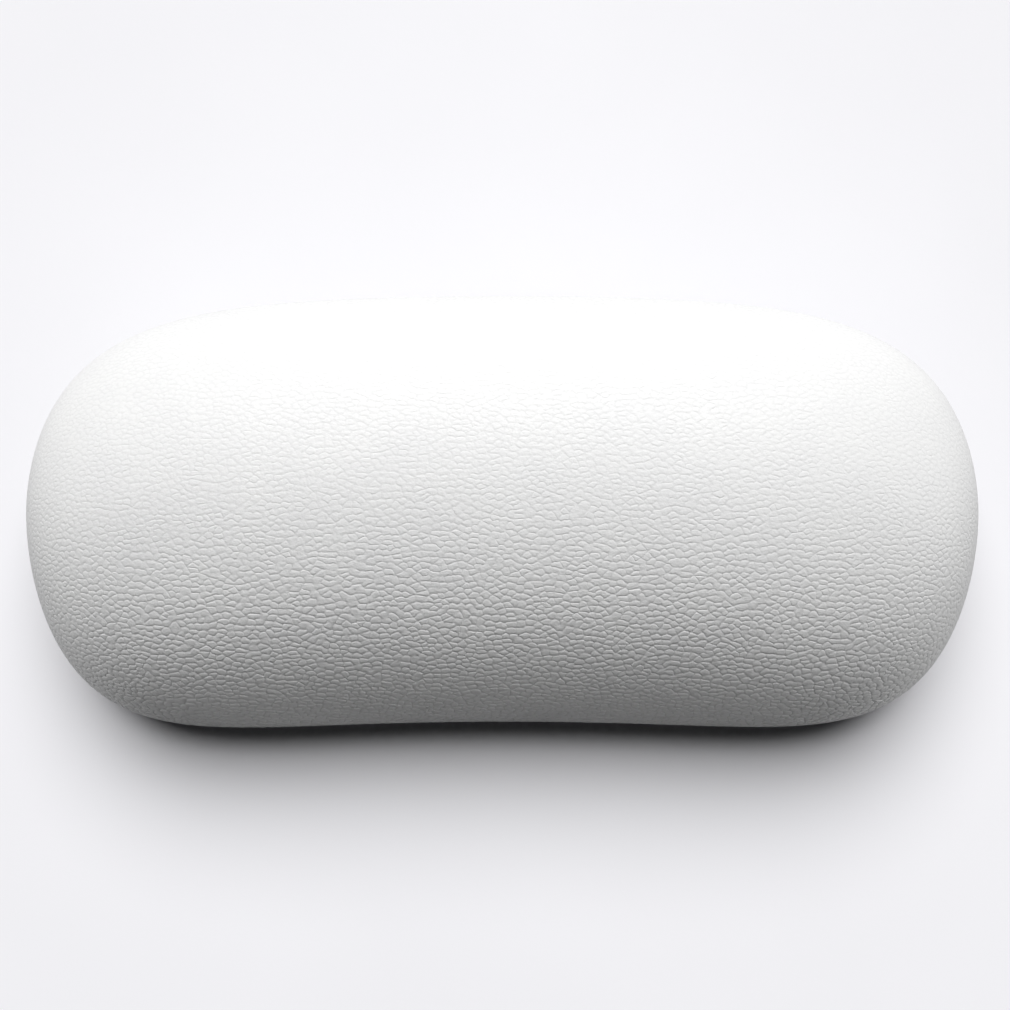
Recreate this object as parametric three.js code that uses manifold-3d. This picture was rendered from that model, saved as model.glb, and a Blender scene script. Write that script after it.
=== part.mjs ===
// Bath pillow: a bean-shaped headrest of self-skinned foam, moulded round a rigid insert.
// Four suction cups hold it. Each turns on a stud whose head slides in a keyhole seat under the pillow.
// Units are millimetres. +Z is up, +X runs along the pillow and -Y is its hollowed front.
// The origin lies on the resting surface, under the middle of the pillow's box.

import * as THREE from "three";
import { mergeVertices } from "three/addons/utils/BufferGeometryUtils.js";
import Module from "manifold-3d";

const wasm = await Module();
wasm.setup();

// Clearances and cutters
const fitGap = 0.3; // between two parts that sit against each other
const runGap = 0.4; // between two parts that slide past each other
const cutOverrun = 2; // how far a cutter runs past the face that it opens
const mergeDistance = 0.0005; // corners closer than this are one corner

// Pillow body
const bodyLength = 300;
const bodyDepth = 136; // across the middle, before the bend
const crownHeight = 43; // from the widest level up to the top
const bellyHeight = 26; // from the flat underside up to the widest level
const bendDepth = 9; // how far the bend would carry the ends forward if it didn't die out
const skinThickness = 2.2;

// Form of the body: exponents of its curves, and shares
const planExponent = 6; // how squarely the long sides end in plan
const crownEndExponent = 4; // how squarely the crown ends, seen from the front
const crownSectionExponent = 1.95; // cross-section above the widest level, front to back
const crownExponent = 1.7; // the same, upwards
const bellySectionExponent = 2.3; // cross-section below the widest level, front to back
const bellyExponent = 2.6; // the same, downwards
const bendFadePower = 6; // how late the bend dies out towards the ends
const flatBaseShare = 0.825; // part of the belly curve's drop that is left above the flat underside
const outerSteps = 12; // facets along each edge of the six-sided grid, outside
const innerSteps = 5; // the same for the hidden surfaces
const reachHalvings = 40; // how finely the surface is found

// Suction cup, one soft moulding
const cupRadius = 18.5;
const cupRimWidth = 2.5; // flat ring that meets the tub
const cupLipThickness = 0.9;
const cupHollowDepth = 2.6;
const cupCrownThickness = 2; // between the hollow and the socket
const cupBossRadius = 6.5;
const cupBossEdge = 0.4; // bevel round the top of the boss
const cupMouthLip = 1.6; // thickness of the lip that holds the stud's foot
const cupTabReach = 4; // how far the release tab stands out from the rim
const cupTabWidth = 8;
const cupTabCorner = 2;
const cupTabThickness = 1;
const cupClearance = 1; // between the tabs of two cups that are turned to face each other

// Stud, a hard button with a foot in the cup and a head in the seat
const studNeckRadius = 2.5;
const studFootRadius = 4.3;
const studFootHeight = 2.8;
const studHeadRadius = 6;
const studHeadHeight = 2.6;
const studHeadRim = 1; // straight edge of the head, below its dome

// Seat, a round housing with a keyhole in its floor
const seatRadius = 17;
const seatFloorThickness = 2.8;
const seatRecess = 1; // how deep the seat lies in the underside
const seatEdge = 0.8; // bevel round its lower edge
const entryClearance = 0.6; // round the head where it goes in and along the chamber
const headRoom = 0.6; // over the head, under the insert
const seatEndMargin = 30; // from the middle of a seat to the insert's end
const seatSideMargin = 21; // from the middle of a seat to the insert's side
const keyholeTravel = 9; // from the narrow end to the middle of the entry hole

// Self-tapping screws, two to a seat
const screwEdgeMargin = 5.2; // from the middle of a screw to the seat's edge
const screwHeadRadius = 3;
const screwHeadHeight = 1.9;
const screwShankRadius = 1.5;
const screwBite = 8; // length of thread above the underside of the insert
const screwPointLength = 1.6;
const screwSlotLength = 3.4;
const screwSlotWidth = 0.8;
const screwSlotDepth = 1;

// Insert, a ribbed plate that the foam is moulded round
const insertEndMargin = 40; // from the insert's end to the body's end
const insertCornerRadius = 20;
const insertThickness = 4;
const ribThickness = 2.5;
const ribHeight = 5;
const ribInset = 8; // from the plate's edge to the edge rib
const bossWall = 2.2;
const bossCap = 1.2; // material over the end of a screw hole
const keyHoleRadius = 8; // holes that the foam grows through
const keyHoleSpreadShare = 0.25; // of the span between the seats
const keyHoleSpacingY = 40;

// Facets round a circle
const cupFacets = 28;
const seatFacets = 24;
const studFacets = 20;
const hiddenFacets = 12;
const slotFacets = 8; // round each end of a slot
const cornerFacets = 4; // round each corner of a plate
const domeSteps = 3;

// Levels, worked upwards from the resting surface
const socketFloor = cupHollowDepth + cupCrownThickness;
const footLevel = socketFloor + fitGap;
const footTop = footLevel + studFootHeight;
const socketTop = footTop + fitGap;
const cupTop = socketTop + cupMouthLip;
const seatLevel = cupTop + runGap;
const undersideLevel = seatLevel - seatRecess;
const chamberLevel = seatLevel + seatFloorThickness;
const headLevel = chamberLevel + fitGap;
const headTop = headLevel + studHeadHeight;
const seatTop = headTop + headRoom;
const insertLevel = seatTop + fitGap;
const insertTop = insertLevel + insertThickness;
const widestLevel = undersideLevel + bellyHeight;

// Spans, radii and places that follow from the pieces above
const insertLength = bodyLength - 2 * insertEndMargin;
const seatSpacingX = insertLength - 2 * seatEndMargin;
const seatSpacingY = 2 * (cupRadius + cupTabReach) + cupClearance;
const insertDepth = seatSpacingY + 2 * seatSideMargin;
const screwSpacing = 2 * (seatRadius - screwEdgeMargin);
const keyHoleSpacingX = seatSpacingX * keyHoleSpreadShare;
const socketRadius = studFootRadius + runGap;
const neckHoleRadius = studNeckRadius + fitGap;
const entryRadius = studHeadRadius + entryClearance;
const screwHoleRadius = screwShankRadius + fitGap;
const screwPocketRadius = screwHeadRadius + runGap;
const screwPocketDepth = screwHeadHeight + fitGap;
const screwTip = insertLevel + screwBite;
const bossTop = screwTip + fitGap + bossCap;
const bossRadius = screwHoleRadius + bossWall;
const studOffset = keyholeTravel / 2; // from the seat's middle to the stud at rest
const cupShoulder = socketFloor + studFootHeight / 2; // where the cup's crown runs into its boss

const seats = [
  { name: "front_left", side: -1, row: -1 },
  { name: "front_right", side: 1, row: -1 },
  { name: "back_left", side: -1, row: 1 },
  { name: "back_right", side: 1, row: 1 },
];
const screws = [
  { name: "fore", row: -1 },
  { name: "aft", row: 1 },
];

// Materials
const plain = (color, roughness) => new THREE.MeshStandardMaterial({ color, roughness, metalness: 0 });
const materials = {
  skin: plain(0xf2f1f0, 0.55),
  foam: plain(0xece8dc, 0.95),
  insert: plain(0x3a3c40, 0.6),
  seat: plain(0xe4e4e2, 0.45),
  stud: plain(0xf7f7f5, 0.35),
  cup: plain(0xd6dde0, 0.2),
  screw: new THREE.MeshStandardMaterial({ color: 0xb4b6b8, roughness: 0.3, metalness: 1 }),
};

// Turns a closed three.js geometry into a solid that can be joined and cut.
function toSolid(geometry) {
  const bare = geometry.clone();
  bare.deleteAttribute("normal");
  bare.deleteAttribute("uv");
  const merged = mergeVertices(bare, mergeDistance);
  const corners = merged.index.array;
  const kept = [];
  for (let i = 0; i < corners.length; i += 3) {
    const [a, b, c] = [corners[i], corners[i + 1], corners[i + 2]];
    if (a !== b && b !== c && c !== a) kept.push(a, b, c);
  }
  const vertProperties = Float32Array.from(merged.attributes.position.array);
  return new wasm.Manifold(new wasm.Mesh({ numProp: 3, vertProperties, triVerts: Uint32Array.from(kept) }));
}

// Turns a solid back into a three.js geometry.
function toGeometry(solid) {
  const mesh = solid.getMesh();
  const geometry = new THREE.BufferGeometry();
  geometry.setAttribute("position", new THREE.BufferAttribute(mesh.vertProperties, 3));
  geometry.setIndex(new THREE.BufferAttribute(mesh.triVerts, 1));
  geometry.computeVertexNormals();
  return geometry;
}

const joined = (solids) => solids.reduce((whole, next) => whole.add(next));

// A solid turned about Z from [radius, height] pairs that start and end on the axis, lowest first.
function turned(profile, facets) {
  const points = profile.map(([radius, height]) => new THREE.Vector2(radius, height));
  return toSolid(new THREE.LatheGeometry(points, facets).rotateX(Math.PI / 2));
}

function bar(radius, low, high, facets) {
  return turned([[0, low], [radius, low], [radius, high], [0, high]], facets);
}

function block(sizeX, sizeY, low, high) {
  const box = new THREE.BoxGeometry(sizeX, sizeY, high - low);
  return toSolid(box.translate(0, 0, (low + high) / 2));
}

// A rectangle with rounded corners, raised from one level to another.
function roundedPlate(sizeX, sizeY, radius, low, high) {
  const [x, y] = [sizeX / 2 - radius, sizeY / 2 - radius];
  const outline = new THREE.Shape();
  outline.absarc(x, y, radius, 0, Math.PI / 2);
  outline.absarc(-x, y, radius, Math.PI / 2, Math.PI);
  outline.absarc(-x, -y, radius, Math.PI, Math.PI * 1.5);
  outline.absarc(x, -y, radius, Math.PI * 1.5, Math.PI * 2);
  const options = { depth: high - low, bevelEnabled: false, curveSegments: cornerFacets };
  return toSolid(new THREE.ExtrudeGeometry(outline, options).translate(0, 0, low));
}

// The body's form on half axes of 1: below 1 inside, 1 on the surface, above 1 outside.
function unitForm(x, y, z) {
  const along = Math.abs(x);
  const endExponent = z < 0 ? planExponent : crownEndExponent;
  const depthShare = Math.sqrt(1 - along ** planExponent);
  const heightShare = Math.sqrt(1 - along ** endExponent);
  const acrossExponent = z < 0 ? bellySectionExponent : crownSectionExponent;
  const levelExponent = z < 0 ? bellyExponent : crownExponent;
  return (Math.abs(y) / depthShare) ** acrossExponent + (Math.abs(z) / heightShare) ** levelExponent;
}

// How far the surface lies from the middle in a direction, with the underside cut flat.
function unitReach(direction) {
  const { x, y, z } = direction;
  let inside = 0;
  let outside = 1 / Math.max(Math.abs(x), Math.abs(y), Math.abs(z));
  for (let halving = 0; halving < reachHalvings; halving += 1) {
    const reach = (inside + outside) / 2;
    if (unitForm(x * reach, y * reach, z * reach) > 1) outside = reach;
    else inside = reach;
  }
  return z < 0 ? Math.min(inside, flatBaseShare / -z) : inside;
}

// How far the bend carries the body's middle line back at a place along its length.
function bendAt(x) {
  const along = Math.abs(x) / (bodyLength / 2);
  return -bendDepth * along ** 2 * (1 - along ** bendFadePower);
}

// The point of the body's surface in a direction, drawn in evenly by an inset.
function bodyPoint(direction, inset) {
  const reach = unitReach(direction);
  const x = direction.x * reach * (bodyLength / 2 - inset);
  const y = direction.y * reach * (bodyDepth / 2 - inset);
  const drop = (bellyHeight - inset) / flatBaseShare;
  const z = direction.z * reach * (direction.z < 0 ? drop : crownHeight - inset);
  return [x, y + bendAt(x), z + widestLevel];
}

// A closed skin of the body's form: the six faces of a cube, blown out to the surface.
function bodyGeometry(inset, steps) {
  const spread = (step) => Math.tan((step / steps - 0.5) * (Math.PI / 2));
  const sides = [
    (a, b) => new THREE.Vector3(1, a, b),
    (a, b) => new THREE.Vector3(-1, b, a),
    (a, b) => new THREE.Vector3(b, 1, a),
    (a, b) => new THREE.Vector3(a, -1, b),
    (a, b) => new THREE.Vector3(a, b, 1),
    (a, b) => new THREE.Vector3(b, a, -1),
  ];
  const positions = [];
  for (const side of sides) {
    const corner = (i, j) => bodyPoint(side(spread(i), spread(j)).normalize(), inset);
    for (let i = 0; i < steps; i += 1) {
      for (let j = 0; j < steps; j += 1) {
        const [near, far] = [corner(i, j), corner(i + 1, j + 1)];
        positions.push(...near, ...corner(i + 1, j), ...far, ...near, ...far, ...corner(i, j + 1));
      }
    }
  }
  const geometry = new THREE.BufferGeometry();
  geometry.setAttribute("position", new THREE.Float32BufferAttribute(positions, 3));
  return geometry;
}

// The bend moves the body off centre, so the body is carried back by half the difference.
function middleOfDepth() {
  const geometry = bodyGeometry(0, outerSteps);
  geometry.computeBoundingBox();
  return (geometry.boundingBox.min.y + geometry.boundingBox.max.y) / 2;
}
const bodyShift = -middleOfDepth();

const bodySolid = (inset, steps) => toSolid(bodyGeometry(inset, steps).translate(0, bodyShift, 0));

const seatPlace = (seat) => [(seat.side * seatSpacingX) / 2, (seat.row * seatSpacingY) / 2];

const atSeats = (solid) => joined(seats.map((seat) => solid.translate([...seatPlace(seat), 0])));

const screwPlace = (screw) => (screw.row * screwSpacing) / 2;

const atScrews = (solid) => joined(screws.map((screw) => solid.translate([0, screwPlace(screw), 0])));

// Outer skin: the foam's dense, grained surface, open where the four seats lie.
function grainedSkin() {
  const hollow = bodySolid(skinThickness, innerSteps);
  const mouth = bar(seatRadius + fitGap, undersideLevel - cutOverrun, insertLevel, seatFacets);
  return bodySolid(0, outerSteps).subtract(hollow).subtract(atSeats(mouth));
}

// Soft foam inside the skin. It fills the space round the insert and grows through the insert's holes.
function foamCore() {
  const seatPocket = bar(seatRadius + fitGap, undersideLevel, insertLevel, seatFacets);
  return bodySolid(skinThickness + fitGap, innerSteps)
    .subtract(insertForm(fitGap))
    .subtract(atSeats(seatPocket));
}

// The insert's outer form, grown all round by a clearance.
function insertForm(grow) {
  const plate = roundedPlate(
    insertLength + 2 * grow,
    insertDepth + 2 * grow,
    insertCornerRadius + grow,
    insertLevel - grow,
    insertTop + grow,
  );
  const ribTop = insertTop + ribHeight + grow;
  const ribLength = insertLength - 2 * ribInset;
  const ribDepth = insertDepth - 2 * ribInset;
  const ribCorner = insertCornerRadius - ribInset;
  const edgeRib = roundedPlate(
    ribLength + 2 * grow,
    ribDepth + 2 * grow,
    ribCorner + grow,
    insertLevel,
    ribTop,
  ).subtract(
    roundedPlate(
      ribLength - 2 * (ribThickness + grow),
      ribDepth - 2 * (ribThickness + grow),
      ribCorner - ribThickness - grow,
      insertLevel - cutOverrun,
      ribTop + cutOverrun,
    ),
  );
  const longRib = block(ribLength - ribThickness, ribThickness + 2 * grow, insertLevel, ribTop);
  const crossRib = block(ribThickness + 2 * grow, ribDepth - ribThickness, insertLevel, ribTop);
  const crossRibs = [-1, 1].map((side) => crossRib.translate([(side * keyHoleSpacingX) / 2, 0, 0]));
  const boss = bar(bossRadius + grow, insertLevel, bossTop + grow, hiddenFacets);
  const keyHole = bar(keyHoleRadius - grow, insertLevel - cutOverrun, insertTop + cutOverrun, hiddenFacets);
  const keyHoles = [];
  for (const column of [-1, 0, 1]) {
    for (const row of [-1, 1]) {
      keyHoles.push(keyHole.translate([column * keyHoleSpacingX, (row * keyHoleSpacingY) / 2, 0]));
    }
  }
  return joined([plate, edgeRib, longRib, ...crossRibs, atSeats(atScrews(boss))]).subtract(joined(keyHoles));
}

// Rigid insert with a blind hole for each screw.
function insertPlate() {
  const screwHole = bar(screwHoleRadius, insertLevel - cutOverrun, screwTip + fitGap, hiddenFacets);
  return insertForm(0).subtract(atSeats(atScrews(screwHole)));
}

// A straight slot along X with round ends.
function slot(length, halfWidth, low, high) {
  const straight = length / 2 - halfWidth;
  const outline = new THREE.Shape();
  outline.absarc(straight, 0, halfWidth, -Math.PI / 2, Math.PI / 2);
  outline.absarc(-straight, 0, halfWidth, Math.PI / 2, Math.PI * 1.5);
  const options = { depth: high - low, bevelEnabled: false, curveSegments: slotFacets };
  return toSolid(new THREE.ExtrudeGeometry(outline, options).translate(0, 0, low));
}

// Seat, seen with the entry hole towards -X. A chamber over its floor takes the stud's head.
function cupSeat() {
  const below = seatLevel - cutOverrun;
  const housing = turned([
    [0, seatLevel],
    [seatRadius - seatEdge, seatLevel],
    [seatRadius, seatLevel + seatEdge],
    [seatRadius, seatTop],
    [0, seatTop],
  ], seatFacets);
  const chamber = slot(keyholeTravel + 2 * entryRadius, entryRadius, chamberLevel, seatTop + cutOverrun);
  const entry = bar(entryRadius, below, chamberLevel + cutOverrun, 2 * slotFacets);
  const neckSlot = slot(keyholeTravel + 2 * neckHoleRadius, neckHoleRadius, below, chamberLevel + cutOverrun);
  const screwHole = bar(screwHoleRadius, below, seatTop + cutOverrun, hiddenFacets);
  const screwPocket = bar(screwPocketRadius, below, seatLevel + screwPocketDepth, hiddenFacets);
  return housing
    .subtract(chamber)
    .subtract(entry.translate([-studOffset, 0, 0]))
    .subtract(neckSlot)
    .subtract(atScrews(screwHole.add(screwPocket)));
}

// Cross-headed screw that stands head down, its head inside the seat's pocket.
function seatScrew() {
  const headLow = seatLevel + screwPocketDepth - fitGap - screwHeadHeight;
  const headHigh = headLow + screwHeadHeight;
  const screw = turned([
    [0, headLow],
    [screwHeadRadius, headLow],
    [screwHeadRadius, headHigh],
    [screwShankRadius, headHigh],
    [screwShankRadius, screwTip - screwPointLength],
    [0, screwTip],
  ], hiddenFacets);
  const cut = (sizeX, sizeY) => block(sizeX, sizeY, headLow - cutOverrun, headLow + screwSlotDepth);
  const cross = cut(screwSlotLength, screwSlotWidth).add(cut(screwSlotWidth, screwSlotLength));
  return screw.subtract(cross);
}

// Stud: a foot that snaps into the cup, a neck, and a domed head.
function cupStud() {
  const domeHeight = studHeadHeight - studHeadRim;
  const dome = [];
  for (let step = 0; step <= domeSteps; step += 1) {
    const angle = (step / domeSteps) * (Math.PI / 2);
    dome.push([studHeadRadius * Math.cos(angle), headLevel + studHeadRim + domeHeight * Math.sin(angle)]);
  }
  return turned([
    [0, footLevel],
    [studFootRadius, footLevel],
    [studFootRadius, footTop],
    [studNeckRadius, footTop],
    [studNeckRadius, headLevel],
    [studHeadRadius, headLevel],
    ...dome,
  ], studFacets);
}

// Suction cup: a thin dished disc with a flat rim, a boss that holds the stud, and a tab to let the air in.
function suctionCup() {
  const rimInner = cupRadius - cupRimWidth;
  const hollow = [];
  const crown = [];
  for (let step = 0; step <= domeSteps; step += 1) {
    const angle = (step / domeSteps) * (Math.PI / 2);
    hollow.push([rimInner * Math.sin(angle), cupHollowDepth * Math.cos(angle) ** 2]);
    crown.push([
      cupRadius - (cupRadius - cupBossRadius) * Math.sin(angle),
      cupLipThickness + (cupShoulder - cupLipThickness) * (1 - Math.cos(angle)),
    ]);
  }
  const dish = turned([
    ...hollow,
    [cupRadius, 0],
    ...crown,
    [cupBossRadius, cupTop - cupBossEdge],
    [cupBossRadius - cupBossEdge, cupTop],
    [neckHoleRadius, cupTop],
    [neckHoleRadius, socketTop],
    [socketRadius, socketTop],
    [socketRadius, socketFloor],
    [0, socketFloor],
  ], cupFacets);
  const tabEnd = cupRadius + cupTabReach;
  const tabStart = cupRadius - cupRimWidth / 2;
  const tab = roundedPlate(cupTabWidth, tabEnd - tabStart, cupTabCorner, 0, cupTabThickness);
  return dish.add(tab.translate([0, -(tabStart + tabEnd) / 2, 0]));
}

const pillow = new THREE.Group();
pillow.name = "bath_pillow";

function addPart(name, solid, material, parent = pillow) {
  const mesh = new THREE.Mesh(toGeometry(solid), material);
  mesh.name = name;
  parent.add(mesh);
  return mesh;
}

addPart("grained_skin", grainedSkin(), materials.skin);
addPart("foam_core", foamCore(), materials.foam);
addPart("insert_plate", insertPlate(), materials.insert);

// Each seat, its screws, its stud and its cup share one place. The keyhole's entry faces the pillow's middle.
const [seatForm, screwForm, studForm, cupForm] = [cupSeat(), seatScrew(), cupStud(), suctionCup()];
for (const seat of seats) {
  const station = new THREE.Group();
  const [x, y] = seatPlace(seat);
  station.position.set(x, y, 0);
  pillow.add(station);
  const housing = addPart(`cup_seat_${seat.name}`, seatForm, materials.seat, station);
  housing.rotation.z = seat.side < 0 ? Math.PI : 0;
  for (const screw of screws) {
    const name = `seat_screw_${seat.name}_${screw.name}`;
    addPart(name, screwForm, materials.screw, station).position.y = screwPlace(screw);
  }
  const stud = addPart(`cup_stud_${seat.name}`, studForm, materials.stud, station);
  stud.position.x = seat.side * studOffset;
  const cup = addPart(`suction_cup_${seat.name}`, cupForm, materials.cup, station);
  cup.position.x = seat.side * studOffset;
  cup.rotation.z = seat.row > 0 ? Math.PI : 0;
}

export default pillow;
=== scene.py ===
import math

import bmesh
import bpy
import numpy as np
from mathutils import Matrix, Vector
from mathutils.geometry import delaunay_2d_cdt


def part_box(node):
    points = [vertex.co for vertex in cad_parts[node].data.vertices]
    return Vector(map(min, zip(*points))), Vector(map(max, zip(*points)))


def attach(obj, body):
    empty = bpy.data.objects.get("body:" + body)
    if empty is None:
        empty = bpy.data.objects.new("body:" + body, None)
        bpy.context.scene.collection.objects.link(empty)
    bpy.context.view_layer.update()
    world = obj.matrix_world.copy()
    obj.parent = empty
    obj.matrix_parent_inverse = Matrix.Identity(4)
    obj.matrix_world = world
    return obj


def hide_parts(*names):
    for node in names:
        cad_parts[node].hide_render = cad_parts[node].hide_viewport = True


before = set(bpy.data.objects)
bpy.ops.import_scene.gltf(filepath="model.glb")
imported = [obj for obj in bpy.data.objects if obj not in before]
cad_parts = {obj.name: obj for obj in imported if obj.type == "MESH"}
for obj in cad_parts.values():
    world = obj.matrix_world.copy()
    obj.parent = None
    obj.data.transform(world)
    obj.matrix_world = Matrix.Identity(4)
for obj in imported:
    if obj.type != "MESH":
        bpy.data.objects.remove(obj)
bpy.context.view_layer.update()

# Bath pillow on its four suction cups, on a pale floor, seen from above and in front.
# Lengths are metres. +Z is up, +X runs along the pillow and -Y is its hollowed front.

MM = 0.001
skin_low, skin_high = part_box("grained_skin")

# Form of the pillow's body, the same curves as its CAD solid
BODY_LENGTH = skin_high[0] - skin_low[0]
BODY_DEPTH = 136 * MM
UNDERSIDE = skin_low[2]
BELLY_HEIGHT = 26 * MM
WIDEST_LEVEL = UNDERSIDE + BELLY_HEIGHT
CROWN_HEIGHT = skin_high[2] - WIDEST_LEVEL
BEND_DEPTH = 9 * MM
SKIN_THICKNESS = 2.2 * MM
PLAN_EXPONENT = 6
CROWN_END_EXPONENT = 4
CROWN_SECTION_EXPONENT = 1.95
CROWN_EXPONENT = 1.7
BELLY_SECTION_EXPONENT = 2.3
BELLY_EXPONENT = 2.6
BEND_FADE_POWER = 6
FLAT_BASE_SHARE = 0.825
REACH_HALVINGS = 26
RIM_STEPS = 2880  # points round the widest level that find the middle of the bent body
SAME_LEVEL = 0.01 * MM  # heights closer than this count as one
SAME_PLACE = 0.001 * MM  # and points closer than this

# Pebbled grain: raised cells parted by narrow grooves
GRAIN_SEED = 7
GRAIN_STRETCH = 1.42  # pebbles are this much longer along the pillow than across it
SEED_TRIES = 220000
SEED_CLEAR = 1.22 * MM  # usual distance between two pebbles' middles, across the pillow
SEED_CLEAR_RANGE = (0.82, 1.3)
FLAT_SEED_FORM = 0.72  # the flat underside has seeds only where the form has more than this value
CORNER_MERGE = 0.24 * MM  # groove corners closer than this become one
GROOVE_DEPTH = 0.066 * MM  # at the back, where the photo shows the grain faint
FRONT_GROOVE_DEPTH = 0.335 * MM
FRONT_GROOVE_EXPONENT = 3.9  # how late the depth grows on the way to the front
GROOVE_SIDE = 0.29 * MM  # from the bottom of a groove to its shoulder
GROOVE_ROUNDING = 0.5 * MM  # from the bottom of a groove to the flat of the pebble
SHOULDER_SHARE = 0.14  # share of the groove's depth that is left at its shoulder
CORNER_ROUNDING = 1.3  # a pebble's corners are drawn in this many times as far as its sides
LEAST_TOP_SHARE = 0.4  # a small pebble keeps this share of its width flat
MID_LENGTHS = (0.7 * MM, 1.5 * MM)  # a groove longer than these has one or two points on its way
BEND_SHARE = 0.42  # they stray from its straight line by at most this share of the way to the next one
ROOM_SHARE = 0.28  # and by at most this share of the way to the middle of a pebble beside it
BEND_RANGE = (-0.4, 1.0)  # more of them stray towards the back than towards the front
MERGED_SHARE = 0.15  # share of the grooves that nearly fade out on their way
MERGED_DEPTH = 0.12  # share of the depth that is left there
CORNER_DEPTH_RANGE = (0.85, 1.15)
GROOVE_DEPTH_RANGE = (0.75, 1.15)
CROSSWAYS_SHARE = 0.5  # a groove that runs front to back keeps this share of the depth
PEBBLE_DOME = 0.02 * MM
GROOVE_CREASE = math.radians(22)  # the sides of a groove that is steeper than this meet in a line
GRAIN_FADE = 1.2 * MM  # the grain dies out over this height above the mould's parting line
GRAIN_MARGIN = 0.1  # and is gone this share of that height above the line

# Underside
PARTING_LEVEL = UNDERSIDE + 1.3 * MM  # where the grained half of the mould ends
PARTING_BEAD = 0.3 * MM
BEAD_PROFILE = ((0.1, 0.7), (0.4, 1), (0.9, 1), (1.2, 0.7), (1.3, 0))  # drop and stand-out, in bead sizes
BELLY_SHARES = (0.5, 0.2)  # loops between the bead and the underside, as shares of that height
UNDERSIDE_SHRINKS = (0.998, 0.985)  # loops at the border of the flat underside, as shares of its outline
MOUTH_RADIUS = 17.3 * MM
MOUTH_EDGE = 0.7 * MM
MOUTH_EDGE_STEPS = 4
MOUTH_FACETS = 96
FLAT_STEP = 6 * MM
INNER_SECTORS = 160
INNER_RINGS = 26

# Each cup, and which way along Y its release tab points
CUP_SIDES = {"front_left": -1, "front_right": -1, "back_left": 1, "back_right": 1}


def seat_middle(name):
    low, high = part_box("cup_seat_" + name)
    return (low[0] + high[0]) / 2, (low[1] + high[1]) / 2


def unit_form(p):
    """The body's form, on half axes of 1: below 1 inside, 1 on the surface, above 1 outside."""
    along = np.minimum(np.abs(p[:, 0]), 1)
    above = p[:, 2] >= 0
    depth = np.sqrt(1 - along ** PLAN_EXPONENT)
    height = np.where(above, np.sqrt(1 - along ** CROWN_END_EXPONENT), depth)
    across = np.where(above, CROWN_SECTION_EXPONENT, BELLY_SECTION_EXPONENT)
    level = np.where(above, CROWN_EXPONENT, BELLY_EXPONENT)
    tiny = 1e-12
    out_y = (np.abs(p[:, 1]) / np.maximum(depth, tiny)) ** across
    return out_y + (np.abs(p[:, 2]) / np.maximum(height, tiny)) ** level


def unit_reach(direction):
    """How far the surface lies from the middle in each direction, with the underside cut flat."""
    inside = np.zeros(len(direction))
    outside = 1 / np.abs(direction).max(axis=1)
    for _ in range(REACH_HALVINGS):
        reach = (inside + outside) / 2
        out = unit_form(direction * reach[:, None]) > 1
        outside = np.where(out, reach, outside)
        inside = np.where(out, inside, reach)
    down = np.maximum(-direction[:, 2], 1e-9)
    return np.where(direction[:, 2] < 0, np.minimum(inside, FLAT_BASE_SHARE / down), inside)


def half_axes(p, inset):
    down = (BELLY_HEIGHT - inset) / FLAT_BASE_SHARE
    up = CROWN_HEIGHT - inset
    tall = np.where(p[:, 2] < 0, down, up)
    wide = np.full(len(p), BODY_LENGTH / 2 - inset)
    deep = np.full(len(p), BODY_DEPTH / 2 - inset)
    return np.stack([wide, deep, tall], axis=1)


def bend_at(x):
    along = np.abs(x) / (BODY_LENGTH / 2)
    return -BEND_DEPTH * along ** 2 * (1 - along ** BEND_FADE_POWER)


def bent(unit, inset):
    """Points on half axes of 1, brought to real size and bent."""
    p = unit * half_axes(unit, inset)
    p[:, 1] += bend_at(p[:, 0]) + body_shift
    p[:, 2] += WIDEST_LEVEL
    return p


def straightened(points, inset=0.0):
    """Real points brought back to half axes of 1."""
    p = np.array(points, float)
    p[:, 1] -= bend_at(p[:, 0]) + body_shift
    p[:, 2] -= WIDEST_LEVEL
    return p / half_axes(p, inset)


def body_points(direction, inset=0.0):
    return bent(direction * unit_reach(direction)[:, None], inset)


def unit(vectors):
    return vectors / np.maximum(np.linalg.norm(vectors, axis=1), 1e-12)[:, None]


def on_body(points, inset=0.0):
    """The body's surface points that lie towards the given points, seen from its middle."""
    return body_points(unit(straightened(points, inset)), inset)


def outwards(points):
    """Directions square to the body's surface at points on it."""
    step = 0.01 * MM
    slopes = []
    for axis in range(3):
        shift = np.zeros(3)
        shift[axis] = step
        slopes.append(unit_form(straightened(points + shift)) - unit_form(straightened(points - shift)))
    return unit(np.nan_to_num(np.stack(slopes, axis=1)))


def middle_of_depth():
    turn = np.linspace(0, 2 * math.pi, RIM_STEPS, endpoint=False)
    rim = body_points(np.stack([np.cos(turn), np.sin(turn), np.zeros(len(turn))], axis=1))
    return (rim[:, 1].min() + rim[:, 1].max()) / 2


# The bend moves the body forward, and this shift centres it again. The middle is found with no shift.
body_shift = 0.0
body_shift = -middle_of_depth()


def shown(mesh, name, body, nodes, material):
    """A smooth-shaded piece that rides on a body and stands for CAD nodes."""
    mesh.shade_smooth()
    piece = bpy.data.objects.new(name, mesh)
    bpy.context.scene.collection.objects.link(piece)
    mesh.materials.clear()
    mesh.materials.append(material)
    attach(piece, body)
    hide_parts(*nodes)
    return piece


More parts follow.
